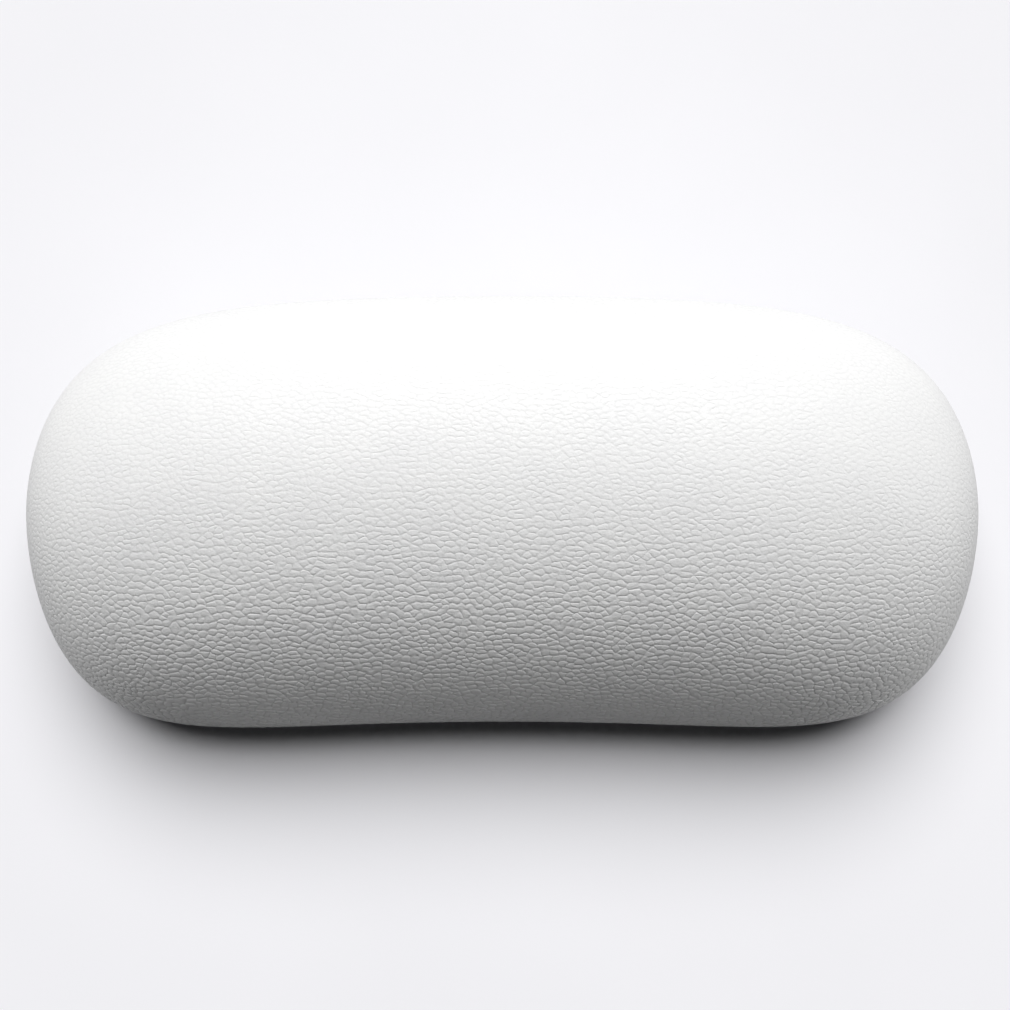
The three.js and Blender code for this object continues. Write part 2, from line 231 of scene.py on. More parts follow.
# Grain
def scattered_seeds(rng):
    """Pebble middles on the body, no two closer than their clear distance where pebbles are round."""
    direction = unit(rng.normal(size=(SEED_TRIES, 3)))
    points = body_points(direction)
    clears = SEED_CLEAR * rng.uniform(*SEED_CLEAR_RANGE, len(points))
    on_flat = points[:, 2] < UNDERSIDE + SAME_LEVEL
    used = ~on_flat | (unit_form(straightened(points)) > FLAT_SEED_FORM)
    points, clears, direction = points[used], clears[used], direction[used]
    round_space = points / [GRAIN_STRETCH, 1, 1]
    box = SEED_CLEAR * SEED_CLEAR_RANGE[1]
    span = 4096  # more boxes than lie along any side
    homes = np.floor(round_space / box).astype(int) + span // 8
    homes = (homes[:, 0] * span + homes[:, 1]) * span + homes[:, 2]
    steps = (-1, 0, 1)
    around = [(i * span + j) * span + k for i in steps for j in steps for k in steps]
    boxes = {}
    kept = []
    places, clears, homes = round_space.tolist(), clears.tolist(), homes.tolist()
    for index, ((x, y, z), clear, home) in enumerate(zip(places, clears, homes)):
        free = True
        for near in around:
            for other_x, other_y, other_z, other_clear in boxes.get(home + near, ()):
                least = max(clear, other_clear)
                if (x - other_x) ** 2 + (y - other_y) ** 2 + (z - other_z) ** 2 < least * least:
                    free = False
                    break
            if not free:
                break
        if free:
            boxes.setdefault(home, []).append((x, y, z, clear))
            kept.append(index)
    return points[kept], direction[kept]


def corner_slant(a, b, c):
    """Cotangent of the angle at c in the triangle a, b, c."""
    ux, uy, uz = a[0] - c[0], a[1] - c[1], a[2] - c[2]
    vx, vy, vz = b[0] - c[0], b[1] - c[1], b[2] - c[2]
    cross = math.hypot(uy * vz - uz * vy, uz * vx - ux * vz, ux * vy - uy * vx)
    return (ux * vx + uy * vy + uz * vz) / max(cross, 1e-18)


def neighbours(seeds, direction):
    """Triangles between neighbouring seeds: a dict from each directed side to the corner across from it."""
    flat = direction[:, :2] / (1 + direction[:, 2:])
    verts, _, faces, origins, *_ = delaunay_2d_cdt([Vector(p) for p in flat.tolist()], [], [], 0, 1e-9)
    apex = {}
    for face in faces:
        a, b, c = (origins[i][0] for i in face)
        apex[a, b], apex[b, c], apex[c, a] = c, a, b
    places = (seeds / [GRAIN_STRETCH, 1, 1]).tolist()
    waiting = [side for side in apex if side[0] < side[1]]
    while waiting:
        a, b = waiting.pop()
        if (a, b) not in apex or (b, a) not in apex:
            continue
        c, d = apex[a, b], apex[b, a]
        if (c, d) in apex or (d, c) in apex:
            continue
        slants = [corner_slant(places[a], places[b], places[corner]) for corner in (c, d)]
        if sum(slants) > -1e-9:
            continue
        del apex[a, b], apex[b, a]
        apex[a, d], apex[d, c], apex[c, a] = c, a, d
        apex[d, b], apex[b, c], apex[c, d] = c, d, b
        waiting += [(a, d), (d, b), (b, c), (c, a)]
    return apex


def circle_middles(triangles, seeds):
    """Middle of the circle through each triangle's corners, where pebbles are round, back at real size."""
    a, b, c = (seeds[triangles[:, k]] / [GRAIN_STRETCH, 1, 1] for k in range(3))
    ab, ac = b - a, c - a
    normal = np.cross(ab, ac)
    square = np.maximum((normal ** 2).sum(axis=1), 1e-24)[:, None]
    ab2 = (ab ** 2).sum(axis=1)[:, None]
    ac2 = (ac ** 2).sum(axis=1)[:, None]
    middle = a + (np.cross(normal, ab) * ac2 + np.cross(ac, normal) * ab2) / (2 * square)
    return middle * [GRAIN_STRETCH, 1, 1]


def merged_corners(apex, number, corners):
    """Which corner each corner becomes. Two that lie close together become one, where both pebbles
    beside them keep three corners."""
    merged = list(range(len(corners)))
    left = {}
    for a, _ in apex:
        left[a] = left.get(a, 0) + 1
    pairs = []
    for (a, b), index in number.items():
        other = number.get((b, a))
        if other is not None and other > index:
            gap = float(np.linalg.norm(corners[index] - corners[other]))
            if gap < CORNER_MERGE:
                pairs.append((gap, index, other, a, b))
    taken = set()
    for _, index, other, a, b in sorted(pairs):
        if index in taken or other in taken or left[a] < 4 or left[b] < 4:
            continue
        taken |= {index, other}
        merged[other] = index
        left[a] -= 1
        left[b] -= 1
    return merged


def pebble_outlines(apex, number, merged):
    """Each pebble's corners in turn, from the triangles round its seed."""
    following = {}
    for a, b in apex:
        following.setdefault(a, []).append(b)
    outlines = []
    for seed, around in following.items():
        if any((other, seed) not in apex for other in around):
            continue
        start = other = around[0]
        outline = []
        while True:
            corner = merged[number[seed, other]]
            if not outline or outline[-1] != corner:
                outline.append(corner)
            other = apex[seed, other]
            if other == start:
                break
        if len(outline) > 1 and outline[0] == outline[-1]:
            outline.pop()
        if len(outline) > 2:
            outlines.append(outline)
    return outlines


def steps_round(outline):
    return zip(outline, outline[1:] + outline[:1])


def bent_sides(rng, points, outlines):
    """The points on the way along each side of the outlines: their numbers by side, places and depths."""
    sides = sorted({(min(p, q), max(p, q)) for outline in outlines for p, q in steps_round(outline)})
    ends = np.array(sides)
    run = points[ends[:, 1]] - points[ends[:, 0]]
    length = np.linalg.norm(run, axis=1)
    halfway = points[ends].mean(axis=1)
    across = unit(np.cross(outwards(on_body(halfway)), run))
    across *= np.where(across[:, 1:2] < 0, -1, 1)
    room = np.full(len(sides), np.inf)
    side_number = {side: index for index, side in enumerate(sides)}
    for outline in outlines:
        middle = points[outline].mean(axis=0)
        beside = [side_number[min(p, q), max(p, q)] for p, q in steps_round(outline)]
        offset = middle - points[ends[beside, 0]]
        gaps = np.linalg.norm(np.cross(run[beside], offset), axis=1) / length[beside]
        room[beside] = np.minimum(room[beside], gaps)
    crossways = (run[:, 1] ** 2 + run[:, 2] ** 2) / length ** 2
    strength = rng.uniform(*GROOVE_DEPTH_RANGE, len(sides)) * (1 - (1 - CROSSWAYS_SHARE) * crossways)
    fading = rng.uniform(size=len(sides)) < MERGED_SHARE
    strength = np.where(fading, MERGED_DEPTH, strength)
    between = {}
    extra, extra_depth = [], []
    for index, side in enumerate(sides):
        count = sum(length[index] > least for least in MID_LENGTHS)
        shares = [(step + 1) / (count + 1) for step in range(count)]
        most = min(length[index] / (count + 1) * BEND_SHARE, room[index] * ROOM_SHARE)
        between[side] = [len(points) + len(extra) + step for step in range(count)]
        for share in shares:
            stray = across[index] * most * rng.uniform(*BEND_RANGE)
            extra.append(points[side[0]] + run[index] * share + stray)
            extra_depth.append(strength[index])
    return between, np.array(extra), np.array(extra_depth)


def grooves_and_pebbles(rng):
    """Points of the grain's grooves, how deep each is, and each pebble's ring of groove points."""
    seeds, direction = scattered_seeds(rng)
    apex = neighbours(seeds, direction)
    triangles = sorted({min((a, b, c), (b, c, a), (c, a, b)) for (a, b), c in apex.items()})
    number = {}
    for index, (a, b, c) in enumerate(triangles):
        number[a, b] = number[b, c] = number[c, a] = index
    corners = on_body(circle_middles(np.array(triangles), seeds))
    outlines = pebble_outlines(apex, number, merged_corners(apex, number, corners))
    used = sorted({corner for outline in outlines for corner in outline})
    place = {corner: index for index, corner in enumerate(used)}
    outlines = [[place[corner] for corner in outline] for outline in outlines]
    points = corners[used]
    between, extra, extra_depth = bent_sides(rng, points, outlines)
    depth = np.concatenate([rng.uniform(*CORNER_DEPTH_RANGE, len(points)), extra_depth])
    points = on_body(np.concatenate([points, extra]))
    rings, is_corner = [], []
    for outline in outlines:
        ring, flags = [], []
        for p, q in steps_round(outline):
            way = between[min(p, q), max(p, q)]
            ring += [p, *(way if p < q else way[::-1])]
            flags += [True] + [False] * len(way)
        rings.append(ring)
        is_corner.append(flags)
    return points, depth, rings, is_corner


def grain_mesh(rng):
    """Vertices, faces and each vertex's share of the grooves' depth, for the whole grained surface."""
    groove, depth, rings, is_corner = grooves_and_pebbles(rng)
    sizes = np.array([len(ring) for ring in rings])
    starts = np.concatenate([[0], np.cumsum(sizes)[:-1]])
    flat_ring = np.concatenate(rings)
    corner = np.concatenate(is_corner)
    owner = np.repeat(np.arange(len(rings)), sizes)
    index = np.arange(len(flat_ring))
    after = np.where(index == (starts + sizes - 1)[owner], starts[owner], index + 1)
    before = np.empty_like(after)
    before[after] = index
    p = groove[flat_ring]
    middle = np.add.reduceat(p, starts, axis=0) / sizes[:, None]
    home = middle[owner]
    side = p[after] - p
    reach = np.linalg.norm(np.cross(side, home - p), axis=1)
    reach /= np.maximum(np.linalg.norm(side, axis=1), 1e-9)
    reach = np.minimum(reach, reach[before])
    smallest = np.minimum.reduceat(reach, starts)[owner]
    fit = np.minimum(1, (1 - LEAST_TOP_SHARE) * smallest / GROOVE_ROUNDING)

    def ring_at(width):
        drawn = width * fit * np.where(corner, CORNER_ROUNDING, 1) / reach
        drawn = np.minimum(drawn, 1 - LEAST_TOP_SHARE / 2)
        drawn = drawn / 2 + (drawn[before] + drawn[after]) / 4
        return home + (p - home) * (1 - drawn)[:, None]

    layers = [groove, ring_at(GROOVE_SIDE), ring_at(GROOVE_ROUNDING), middle]
    own_depth = depth[flat_ring]
    sink = [depth, own_depth * SHOULDER_SHARE, np.zeros(len(p)), np.zeros(len(middle))]
    counts = np.cumsum([0] + [len(layer) for layer in layers])
    points = on_body(np.concatenate(layers))
    sink = np.concatenate(sink)
    front = np.clip((1 - straightened(points)[:, 1]) / 2, 0, 1)
    rise = -sink * (GROOVE_DEPTH + (FRONT_GROOVE_DEPTH - GROOVE_DEPTH) * front ** FRONT_GROOVE_EXPONENT)
    rise[counts[3]:] += PEBBLE_DOME
    rise *= np.clip((points[:, 2] - PARTING_LEVEL) / GRAIN_FADE - GRAIN_MARGIN, 0, 1)
    points += outwards(points) * rise[:, None]
    shoulder, top, centre = index + counts[1], index + counts[2], owner + counts[3]
    quads = np.concatenate([
        np.stack([flat_ring, flat_ring[after], shoulder[after], shoulder], axis=1),
        np.stack([shoulder, shoulder[after], top[after], top], axis=1),
    ])
    fans = np.stack([top, top[after], centre], axis=1)
    return points, quads, fans, sink


# Skin: one closed shell, grained outside, smooth underneath and inside, with a mouth for each seat
def contour(points, level, shrink=1.0):
    """The form's outline at a level below the widest one, in the plan directions of the given points."""
    plan = straightened(points)[:, :2]
    plan /= np.abs(plan).max(axis=1)[:, None]
    height = (level - WIDEST_LEVEL) / (BELLY_HEIGHT / FLAT_BASE_SHARE)
    flat = np.column_stack([plan, np.full(len(plan), height)])
    inside, outside = np.zeros(len(plan)), np.ones(len(plan))
    for _ in range(REACH_HALVINGS):
        reach = (inside + outside) / 2
        out = unit_form(flat * np.column_stack([reach, reach, np.ones(len(plan))])) > 1
        outside = np.where(out, reach, outside)
        inside = np.where(out, inside, reach)
    reach = inside * shrink
    return bent(flat * np.column_stack([reach, reach, np.ones(len(plan))]), 0.0)


def open_loop(bm):
    """The vertices of the one open border, in order."""
    edges = [edge for edge in bm.edges if edge.is_boundary]
    first = edges[0].verts[0]
    loop, edge, vert = [first], edges[0], edges[0].verts[1]
    while vert != first:
        loop.append(vert)
        edge = next(e for e in vert.link_edges if e.is_boundary and e != edge)
        vert = edge.other_vert(vert)
    return loop


def add_loop(bm, places):
    return [bm.verts.new(place) for place in places]


def bridge(bm, near, far):
    for k in range(len(near)):
        bm.faces.new((near[k - 1], near[k], far[k], far[k - 1]))


def circle(middle, radius, level):
    turns = [2 * math.pi * k / MOUTH_FACETS for k in range(MOUTH_FACETS)]
    return [(middle[0] + radius * math.cos(a), middle[1] + radius * math.sin(a), level) for a in turns]


def fill_flat(bm, rim, mouths, level):
    """Triangles at one level between a rim and the mouths inside it. One with all its corners on
    one mouth would close that mouth, and is left out."""
    loops = [rim, *mouths]
    verts = [vert for loop in loops for vert in loop]
    sides, start = [], 0
    for loop in loops:
        sides += [(start + k, start + (k + 1) % len(loop)) for k in range(len(loop))]
        start += len(loop)
    reach_x = max(vert.co.x for vert in rim) - FLAT_STEP
    rows = {}
    for x in np.arange(-reach_x, reach_x, FLAT_STEP):
        near = [vert.co.y for vert in rim if abs(vert.co.x - x) < FLAT_STEP]
        front, back = max(y for y in near if y < 0), min(y for y in near if y > 0)
        rows[x] = (front + FLAT_STEP / 2, back - FLAT_STEP / 2)
    middles = [sum((vert.co for vert in mouth), Vector()) / len(mouth) for mouth in mouths]
    clear = (mouths[0][0].co - middles[0]).length + FLAT_STEP / 2
    for x, (low, high) in rows.items():
        for y in np.arange(low, high, FLAT_STEP):
            place = Vector((x, y, level))
            if all((place - middle).length > clear for middle in middles):
                verts.append(bm.verts.new(place))
    flat = [Vector((vert.co.x, vert.co.y)) for vert in verts]
    only_inside = 1
    out = delaunay_2d_cdt(flat, sides, [], only_inside, 1e-9)
    mouth_corners = [set(mouth) for mouth in mouths]
    for face in out[2]:
        corners = [verts[out[3][k][0]] for k in face]
        if not any(mouth.issuperset(corners) for mouth in mouth_corners):
            bm.faces.new(corners)


def cut_at_parting(bm):
    """Takes off all that lies below the parting level, and returns the open border."""
    crossing = [f for f in bm.faces if min(v.co.z for v in f.verts) < PARTING_LEVEL]
    edges = dict.fromkeys(e for f in crossing for e in f.edges)
    verts = dict.fromkeys(v for f in crossing for v in f.verts)
    bmesh.ops.bisect_plane(
        bm,
        geom=[*crossing, *edges, *verts],
        dist=SAME_PLACE,
        plane_co=(0, 0, PARTING_LEVEL),
        plane_no=(0, 0, 1),
        clear_inner=True,
    )
    return open_loop(bm)


def add_belly(bm, rim):
    """Adds the parting bead and the smooth form below it, and returns the border of the flat underside."""
    cut = np.array([vert.co for vert in rim])
    places = []
    for drop, proud in BEAD_PROFILE:
        ring = contour(cut, PARTING_LEVEL - drop * PARTING_BEAD)
        places.append(ring + outwards(ring) * PARTING_BEAD * proud)
    bead_end = PARTING_LEVEL - BEAD_PROFILE[-1][0] * PARTING_BEAD
    places += [contour(cut, UNDERSIDE + share * (bead_end - UNDERSIDE)) for share in BELLY_SHARES]
    places += [contour(cut, UNDERSIDE, shrink) for shrink in UNDERSIDE_SHRINKS]
    for ring in places:
        loop = add_loop(bm, ring)
        bridge(bm, rim, loop)
        rim = loop
    return rim


def add_mouths(bm, inner_level):
    """Adds the rounded wall of each mouth, and returns their borders outside and inside."""
    mouths, inner_mouths = [], []
    for name in CUP_SIDES:
        middle = seat_middle(name)
        loops = []
        for step in range(MOUTH_EDGE_STEPS + 1):
            turn = math.pi / 2 * step / MOUTH_EDGE_STEPS
            radius = MOUTH_RADIUS + MOUTH_EDGE * (1 - math.sin(turn))
            level = UNDERSIDE + MOUTH_EDGE * (1 - math.cos(turn))
            loops.append(add_loop(bm, circle(middle, radius, level)))
        loops.append(add_loop(bm, circle(middle, MOUTH_RADIUS, inner_level)))
        for near, far in zip(loops, loops[1:]):
            bridge(bm, near, far)
        mouths.append(loops[0])
        inner_mouths.append(loops[-1])
    return mouths, inner_mouths


def add_inner_shell(bm):
    """Adds the smooth inside down to its flat floor, and returns the border of that floor."""
    turns = np.linspace(0, 2 * math.pi, INNER_SECTORS, endpoint=False)
    around = bent(np.column_stack([np.cos(turns), np.sin(turns), np.zeros(INNER_SECTORS)]), 0.0)
    edge = straightened(contour(around, UNDERSIDE))
    low_angle = np.arctan2(edge[:, 2], np.hypot(edge[:, 0], edge[:, 1]))
    heading = np.arctan2(edge[:, 1], edge[:, 0])
    inner = []
    for step in range(INNER_RINGS):
        angle = low_angle + (math.pi / 2 - low_angle) * step / INNER_RINGS
        level_out = np.cos(angle)
        way = np.column_stack([level_out * np.cos(heading), level_out * np.sin(heading), np.sin(angle)])
        inner.append(add_loop(bm, body_points(way, SKIN_THICKNESS)))
    for near, far in zip(inner, inner[1:]):
        bridge(bm, near, far)
    top = bm.verts.new(body_points(np.array([[0.0, 0.0, 1.0]]), SKIN_THICKNESS)[0])
    for k in range(INNER_SECTORS):
        bm.faces.new((inner[-1][k - 1], inner[-1][k], top))
    return inner[0]


def skin_piece():
    points, quads, fans, sink = grain_mesh(np.random.default_rng(GRAIN_SEED))
    high = points[:, 2] > PARTING_LEVEL
    faces = [face for part in (quads, fans) for face in part[high[part].any(axis=1)].tolist()]
    mesh = bpy.data.meshes.new("pillow_skin")
    mesh.from_pydata(points.tolist(), [], faces)
    # Each point's share of the groove depth, kept for the material's painted shade in the grooves and for
    # its roughness
    mesh.attributes.new("groove", "FLOAT", "POINT").data.foreach_set("value", sink)
    bm = bmesh.new()
    bm.from_mesh(mesh)
    bmesh.ops.delete(bm, geom=[vert for vert in bm.verts if not vert.link_faces], context="VERTS")
    inner_level = UNDERSIDE + SKIN_THICKNESS
    rim = add_belly(bm, cut_at_parting(bm))
    mouths, inner_mouths = add_mouths(bm, inner_level)
    fill_flat(bm, rim, mouths, UNDERSIDE)
    fill_flat(bm, add_inner_shell(bm), inner_mouths, inner_level)
    bmesh.ops.recalc_face_normals(bm, faces=bm.faces)
    bm.to_mesh(mesh)
    bm.free()
    piece = shown(mesh, "pillow_skin", "pillow", ["grained_skin"], materials["skin"])
    mesh.set_sharp_from_angle(angle=GROOVE_CREASE)
    return piece


# Foam: the CAD form with its outside made smooth and fine
FOAM_INSET = 2.5 * MM
FOAM_CUTS = 3
FOAM_FORM_SLACK = 0.004  # how far the form's value may be from 1 at a corner of the outside
FOAM_CREASE = math.radians(40)


def foam_piece():
    bm = bmesh.new()
    bm.from_mesh(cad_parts["foam_core"].data)
    bmesh.ops.remove_doubles(bm, verts=bm.verts, dist=SAME_PLACE)

    def on_outside():
        places = np.array([vert.co for vert in bm.verts])
        form = unit_form(straightened(places, FOAM_INSET))
        above = places[:, 2] > UNDERSIDE + FOAM_INSET - SAME_LEVEL
        outer = (np.abs(form - 1) < FOAM_FORM_SLACK) & above
        return {vert for vert, yes in zip(bm.verts, outer) if yes}

    outside = on_outside()
    edges = [edge for edge in bm.edges if set(edge.verts) <= outside]
    added = bmesh.ops.subdivide_edges(bm, edges=edges, cuts=FOAM_CUTS, use_grid_fill=True)["geom_inner"]
    new = [vert for vert in added if isinstance(vert, bmesh.types.BMVert)]
    new = [vert for vert in new if vert.co.z > UNDERSIDE + FOAM_INSET + SAME_LEVEL]
    for vert, place in zip(new, on_body(np.array([vert.co for vert in new]), FOAM_INSET)):
        vert.co = place
    mesh = bpy.data.meshes.new("foam")
    bm.to_mesh(mesh)
    bm.free()
    piece = shown(mesh, "foam", "pillow", ["foam_core"], materials["foam"])
    mesh.set_sharp_from_angle(angle=FOAM_CREASE)
    return piece


# Suction cups: soft clear mouldings with a rim, a boss and a release tab, in the sizes of the CAD solids
CUP_RADIUS = 18.5 * MM
CUP_RIM = 2.5 * MM
CUP_LIP = 0.9 * MM
CUP_HOLLOW = 2.6 * MM
CUP_BOSS_RADIUS = 6.5 * MM
CUP_SHOULDER = 6.0 * MM
CUP_TOP = 9.6 * MM
CUP_NECK_RADIUS = 2.8 * MM
CUP_SOCKET_RADIUS = 4.7 * MM
CUP_SOCKET = (4.6 * MM, 8.0 * MM)
CUP_EDGE = 0.35 * MM
TAB_HALF = 4 * MM
TAB_REACH = 4 * MM
TAB_CORNER = 2 * MM
CUP_TURNS = 144
TAB_TURNS = 48
CUP_STEPS = 14
CUP_CREASE = math.radians(50)
RIM_TOP = CUP_LIP * 1.05  # the tab grows out of what lies lower than this
LEAST_TAB = 0.02 * MM  # the tab starts this far in from its side


def cup_profile():
    """Radius and height round the cup's section, from the axis under it to the axis in its socket."""
    section = []
    for step in range(CUP_STEPS + 1):
        turn = math.pi / 2 * step / CUP_STEPS
        section.append(((CUP_RADIUS - CUP_RIM) * math.sin(turn), CUP_HOLLOW * math.cos(turn) ** 2))
    for share in (0.3, 0.6):
        section.append((CUP_RADIUS - CUP_RIM * (1 - share), 0))
    rim_edge = CUP_RADIUS - CUP_EDGE
    for turn in (-90, -45, 0):
        a = math.radians(turn)
        section.append((rim_edge + CUP_EDGE * math.cos(a), CUP_EDGE + CUP_EDGE * math.sin(a)))
    for turn in (30, 60, 90):
        a = math.radians(turn)
        section.append((rim_edge + CUP_EDGE * math.cos(a), CUP_LIP - CUP_EDGE + CUP_EDGE * math.sin(a)))
    for step in range(1, CUP_STEPS + 1):
        turn = math.pi / 2 * step / CUP_STEPS
        run = rim_edge - CUP_BOSS_RADIUS
        rise = CUP_SHOULDER - CUP_LIP
        section.append((
            CUP_BOSS_RADIUS + run * (1 - math.sin(turn)),
            CUP_LIP + rise * (1 - math.cos(turn)),
        ))
    for turn in (0, 30, 60, 90):
        a = math.radians(turn)
        out = CUP_BOSS_RADIUS - CUP_EDGE
        section.append((out + CUP_EDGE * math.cos(a), CUP_TOP - CUP_EDGE + CUP_EDGE * math.sin(a)))
    section += [
        (CUP_NECK_RADIUS + CUP_EDGE, CUP_TOP),
        (CUP_NECK_RADIUS, CUP_TOP - CUP_EDGE),
        (CUP_NECK_RADIUS, CUP_SOCKET[1]),
        (CUP_SOCKET_RADIUS, CUP_SOCKET[1]),
        (CUP_SOCKET_RADIUS, CUP_SOCKET[0]),
        (0, CUP_SOCKET[0]),
    ]
    return section


def tab_growth(turn):
    """How far the rim reaches out at an angle from the middle of the tab."""
    side = abs(turn)
    x = CUP_RADIUS * math.sin(side)
    if x >= TAB_HALF or side > math.pi / 2:
        return 0.0
    into = TAB_HALF - x
    if into < TAB_CORNER:
        corner = math.sqrt(TAB_CORNER ** 2 - (TAB_CORNER - into) ** 2)
        return TAB_REACH - TAB_CORNER + corner if into > LEAST_TAB else 0.0
    return TAB_REACH


def cup_piece(name, tab_side):
    section = cup_profile()
    half_angle = math.asin(TAB_HALF / CUP_RADIUS)
    tab_turns = np.linspace(-half_angle, half_angle, TAB_TURNS)
    rest = np.linspace(half_angle, 2 * math.pi - half_angle, CUP_TURNS - TAB_TURNS + 2)[1:-1]
    turns = np.concatenate([tab_turns, rest])
    low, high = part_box("cup_stud_" + name)
    x0, y0 = (low[0] + high[0]) / 2, (low[1] + high[1]) / 2
    facing = math.pi / 2 * tab_side
    bm = bmesh.new()
    loops = []
    for radius, height in section[1:-1]:
        loop = []
        for turn in turns:
            a = turn if turn < math.pi else turn - 2 * math.pi
            share = max(0.0, (radius - (CUP_RADIUS - CUP_RIM)) / CUP_RIM)
            r = radius + tab_growth(a) * share ** 2 if height < RIM_TOP else radius
            x, y = x0 + r * math.cos(facing + turn), y0 + r * math.sin(facing + turn)
            loop.append(bm.verts.new((x, y, height)))
        loops.append(loop)
    for near, far in zip(loops, loops[1:]):
        bridge(bm, near, far)
    for loop, height in ((loops[0], section[0][1]), (loops[-1], section[-1][1])):
        pole = bm.verts.new((x0, y0, height))
        for k in range(len(loop)):
            bm.faces.new((loop[k - 1], loop[k], pole))
    bmesh.ops.recalc_face_normals(bm, faces=bm.faces)
    mesh = bpy.data.meshes.new("cup_" + name)
    bm.to_mesh(mesh)
    bm.free()
    shown(mesh, "soft_cup_" + name, "cup_" + name, ["suction_cup_" + name], materials["cup"])
    mesh.set_sharp_from_angle(angle=CUP_CREASE)


# Materials
def base_material(name, color, roughness, **fixed):
    material = bpy.data.materials.new(name)
    material.use_nodes = True
    shader = material.node_tree.nodes["Principled BSDF"]
    shader.inputs["Base Color"].default_value = (*color, 1)
    shader.inputs["Roughness"].default_value = roughness
    for key, value in fixed.items():
        shader.inputs[key.replace("_", " ")].default_value = value
    return material, material.node_tree.nodes, material.node_tree.links, shader


def noise(nodes, links, scale, detail=3.0, stretch=1.0):
    """Noise in the object's own space. The scale is in cycles a metre, fewer along X where stretched."""
    place = nodes.new("ShaderNodeTexCoord")
    drawn = nodes.new("ShaderNodeMapping")
    drawn.inputs["Scale"].default_value = (1 / stretch, 1, 1)
    texture = nodes.new("ShaderNodeTexNoise")
    texture.inputs["Scale"].default_value = scale
    texture.inputs["Detail"].default_value = detail
    links.new(place.outputs["Object"], drawn.inputs["Vector"])
    links.new(drawn.outputs["Vector"], texture.inputs["Vector"])
    return texture


def ramp(nodes, links, source, low, high, low_color, high_color):
    node = nodes.new("ShaderNodeValToRGB")
    node.color_ramp.elements[0].position = low
    node.color_ramp.elements[1].position = high
    node.color_ramp.elements[0].color = (*low_color, 1)
    node.color_ramp.elements[1].color = (*high_color, 1)
    links.new(source, node.inputs["Fac"])
    return node


def bump(nodes, links, shader, source, distance):
    node = nodes.new("ShaderNodeBump")
    node.inputs["Distance"].default_value = distance
    node.inputs["Strength"].default_value = 1.0
    links.new(source, node.inputs["Height"])
    links.new(node.outputs["Normal"], shader.inputs["Normal"])
    return node


def mixed_material(name, low_color, high_color, roughness, drift_scale, bump_scale, bump_depth, **fixed):
    """A material whose colour drifts between two tones, with a fine bump."""
    material, nodes, links, shader = base_material(name, high_color, roughness, **fixed)
    drift = noise(nodes, links, drift_scale)
    tones = ramp(nodes, links, drift.outputs["Fac"], 0.35, 0.65, low_color, high_color)
    links.new(tones.outputs["Color"], shader.inputs["Base Color"])
    fine = noise(nodes, links, bump_scale)
    bump(nodes, links, shader, fine.outputs["Fac"], bump_depth)
    return material


def skin_material():
    material, nodes, links, shader = base_material("white_grained_skin", (0.8, 0.8, 0.8), 0.5)
    shader.inputs["Specular IOR Level"].default_value = 0.35
    drift = noise(nodes, links, 60)
    tones = ramp(nodes, links, drift.outputs["Fac"], 0.3, 0.7, (0.79, 0.79, 0.79), (0.81, 0.81, 0.806))
    # The groove attribute darkens the colour toward the bottom of each groove: painted shade in the grain's
    # hollows. It also makes the skin rougher there.
    groove = nodes.new("ShaderNodeAttribute")
    groove.attribute_name = "groove"
    darker = nodes.new("ShaderNodeMix")
    darker.data_type = "RGBA"
    darker.blend_type = "MULTIPLY"
    darker.inputs[0].default_value = 1.0
    shade = ramp(nodes, links, groove.outputs["Fac"], 0.0, 1.0, (1, 1, 1), (0.93, 0.93, 0.93))
    links.new(tones.outputs["Color"], darker.inputs["A"])
    links.new(shade.outputs["Color"], darker.inputs["B"])
    links.new(darker.outputs["Result"], shader.inputs["Base Color"])
    rough = ramp(nodes, links, groove.outputs["Fac"], 0.0, 1.0, (0.46, 0.46, 0.46), (0.62, 0.62, 0.62))
    links.new(rough.outputs["Color"], shader.inputs["Roughness"])
    wrinkles = noise(nodes, links, 1500, detail=2.0, stretch=GRAIN_STRETCH)
    creased = bump(nodes, links, shader, wrinkles.outputs["Fac"], 0.12 * MM)
    fine = noise(nodes, links, 2600, detail=4.0)
    rough_bump = bump(nodes, links, shader, fine.outputs["Fac"], 0.012 * MM)
    links.new(creased.outputs["Normal"], rough_bump.inputs["Normal"])
    return material


materials = {
    "skin": skin_material(),
    "foam": mixed_material(
        "cream_foam", (0.78, 0.74, 0.62), (0.86, 0.83, 0.72),
        roughness=0.95, drift_scale=900, bump_scale=1600, bump_depth=0.25 * MM,
    ),
    "insert": mixed_material(
        "dark_plate", (0.035, 0.036, 0.04), (0.05, 0.052, 0.056),
        roughness=0.55, drift_scale=150, bump_scale=2500, bump_depth=0.02 * MM,
    ),
    "seat": mixed_material(
        "white_seat", (0.72, 0.72, 0.71), (0.78, 0.78, 0.77),
        roughness=0.42, drift_scale=120, bump_scale=3000, bump_depth=0.01 * MM,
    ),
    "stud": mixed_material(
        "white_stud", (0.8, 0.8, 0.79), (0.86, 0.86, 0.85),
        roughness=0.3, drift_scale=300, bump_scale=3000, bump_depth=0.006 * MM,
    ),
    "cup": mixed_material(
        "clear_cup", (0.78, 0.84, 0.86), (0.86, 0.9, 0.92),
        roughness=0.14, drift_scale=90, bump_scale=700, bump_depth=0.02 * MM,
        Transmission_Weight=0.75, IOR=1.45,
    ),
    "screw": mixed_material(
        "steel_screw", (0.5, 0.5, 0.51), (0.62, 0.62, 0.63),
        roughness=0.3, drift_scale=500, bump_scale=4000, bump_depth=0.006 * MM,
        Metallic=1.0,
    ),
}
CAD_SLOTS = {"insert": "insert", "cup_seat": "seat", "cup_stud": "stud", "seat_screw": "screw"}

skin = skin_piece()
foam = foam_piece()
for name, tab_side in CUP_SIDES.items():
    cup_piece(name, tab_side)
for name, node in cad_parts.items():
    for start, slot in CAD_SLOTS.items():
        if name.startswith(start):
            node.material_slots[0].material = materials[slot]

